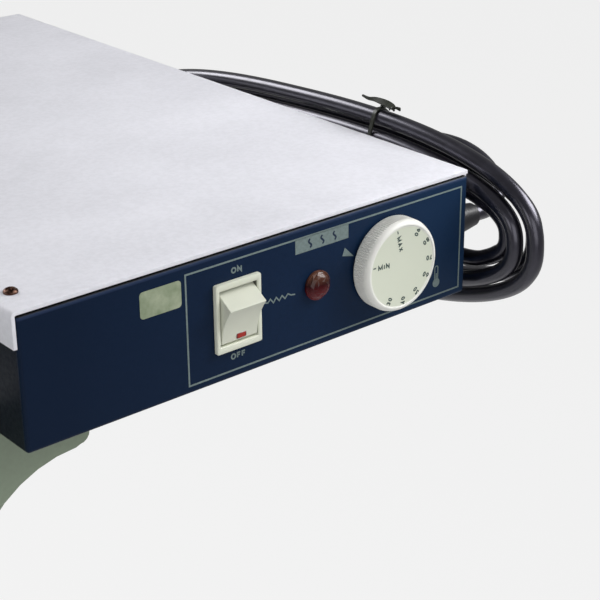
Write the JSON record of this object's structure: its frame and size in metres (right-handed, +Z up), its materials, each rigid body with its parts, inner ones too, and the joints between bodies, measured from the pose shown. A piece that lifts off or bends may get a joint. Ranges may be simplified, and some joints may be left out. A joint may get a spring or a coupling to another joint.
{
  "type": "vacuum ironing table",
  "caption": "Folding ironing table with a heated suction board, a control box with switch, lamp and thermostat dial under a flat iron rest, and a coiled mains cord",
  "frame": {"origin": "on the floor, under the middle of the table's length and depth", "axes": "+X towards the control box, +Y from the control panel to the rear, +Z up"},
  "size_m": [1.4854, 0.4573, 0.8933],
  "materials": {
    "navy_enamel": "satin",
    "white_powder_coat": "satin",
    "grey_green_enamel": "satin",
    "cream_plastic": "semi-gloss",
    "red_lens": "clear, gloss",
    "black_plastic": "matt",
    "black_cord": "gloss",
    "zinc_steel": "zinc plated",
    "browned_steel": "polished",
    "aluminium": "mill",
    "board_cloth": "woven",
    "board_felt": "felted",
    "grey_rubber": "matt",
    "copper": "bright"
  },
  "bodies": {
    "table": {"control_box": "navy_enamel", "iron_rest": "white_powder_coat", "board_tub": "grey_green_enamel", "cheek_front": "grey_green_enamel", "cheek_rear": "grey_green_enamel", "fan_scroll": "grey_green_enamel", "switch_housing": "cream_plastic", "lamp_lens": "red_lens", "lamp_body": "black_plastic", "thermostat_body": "black_plastic", "wiring_conduit": "black_plastic", "cable_gland": "black_plastic", "fan_motor": "black_plastic", "motor_lead": "black_plastic", "plug": "black_plastic", "cable_tie": "black_plastic", "exhaust_grille": "black_plastic", "power_cord": "black_cord", "cord_coil": "black_cord", "plate_heater": "zinc_steel", "rail_front": "zinc_steel", "rail_rear": "zinc_steel", "board_bolt_front": "zinc_steel", "board_bolt_rear": "zinc_steel", "box_bolt_front": "zinc_steel", "box_bolt_rear": "zinc_steel", "pivot_bolt_front": "zinc_steel", "pivot_bolt_rear": "zinc_steel", "cord_hanger": "zinc_steel", "plug_pin_upper": "zinc_steel", "plug_pin_lower": "zinc_steel", "cover_screw_front": "browned_steel", "cover_screw_rear": "browned_steel", "suction_plate": "aluminium", "board_cover": "board_cloth", "board_pad": "board_felt", "duct_gasket": "grey_rubber", "capillary_tube": "copper"},
    "wide_frame": {"wide_leg_front": "grey_green_enamel", "wide_leg_rear": "grey_green_enamel", "wide_foot_bar": "grey_green_enamel", "wide_foot_cap_front": "grey_rubber", "wide_foot_cap_rear": "grey_rubber", "scissor_bolt_front": "zinc_steel", "scissor_bolt_rear": "zinc_steel"},
    "narrow_frame": {"narrow_leg_front": "grey_green_enamel", "narrow_leg_rear": "grey_green_enamel", "narrow_foot_bar": "grey_green_enamel", "narrow_brace": "grey_green_enamel", "narrow_foot_cap_front": "grey_rubber", "narrow_foot_cap_rear": "grey_rubber", "slider_front": "black_plastic", "slider_rear": "black_plastic", "pedal_base": "black_plastic"},
    "pedal": {"foot_pedal": "grey_rubber"},
    "knob": {"clamp_knob": "black_plastic"},
    "rocker": {"rocker": "cream_plastic", "rocker_lens": "red_lens"},
    "dial": {"thermostat_dial": "cream_plastic"},
    "impeller": {"fan_impeller": "black_plastic"}
  },
  "joints": [
    {"name": "fold", "type": "hinge", "parent": "table", "child": "wide_frame", "pos_m": [0.366, 0, 0.7786], "axis": [0, 1, 0], "range_deg": [0, 41]},
    {"name": "cross", "type": "hinge", "parent": "wide_frame", "child": "narrow_frame", "pos_m": [0.01895, 0, 0.41922], "axis": [0, 1, 0], "range_deg": [-82, 0]},
    {"name": "pedal_press", "type": "hinge", "parent": "narrow_frame", "child": "pedal", "pos_m": [0.4244, -0.08, 0.029], "axis": [1, 0, 0], "range_deg": [0, 7], "stiffness_Nm_per_rad": 6, "springref_deg": -5.73},
    {"name": "knob_turn", "type": "hinge", "parent": "table", "child": "knob", "pos_m": [0.366, -0.185, 0.7786], "axis": [0, 1, 0], "range_deg": [-90, 90]},
    {"name": "rocker_rock", "type": "hinge", "parent": "table", "child": "rocker", "pos_m": [0.55735, -0.198, 0.8464], "axis": [-1, 0, 0], "range_deg": [0, 20]},
    {"name": "dial_turn", "type": "hinge", "parent": "table", "child": "dial", "pos_m": [0.6434, -0.2, 0.8466], "axis": [0, 1, 0], "range_deg": [0, 297]},
    {"name": "fan_spin", "type": "hinge", "parent": "table", "child": "impeller", "pos_m": [0.139, 0, 0.78], "axis": [0, 0, 1], "continuous": true}
  ],
  "couplings": [
    {"joint": "cross", "follows": "fold", "ratio": -2}
  ]
}
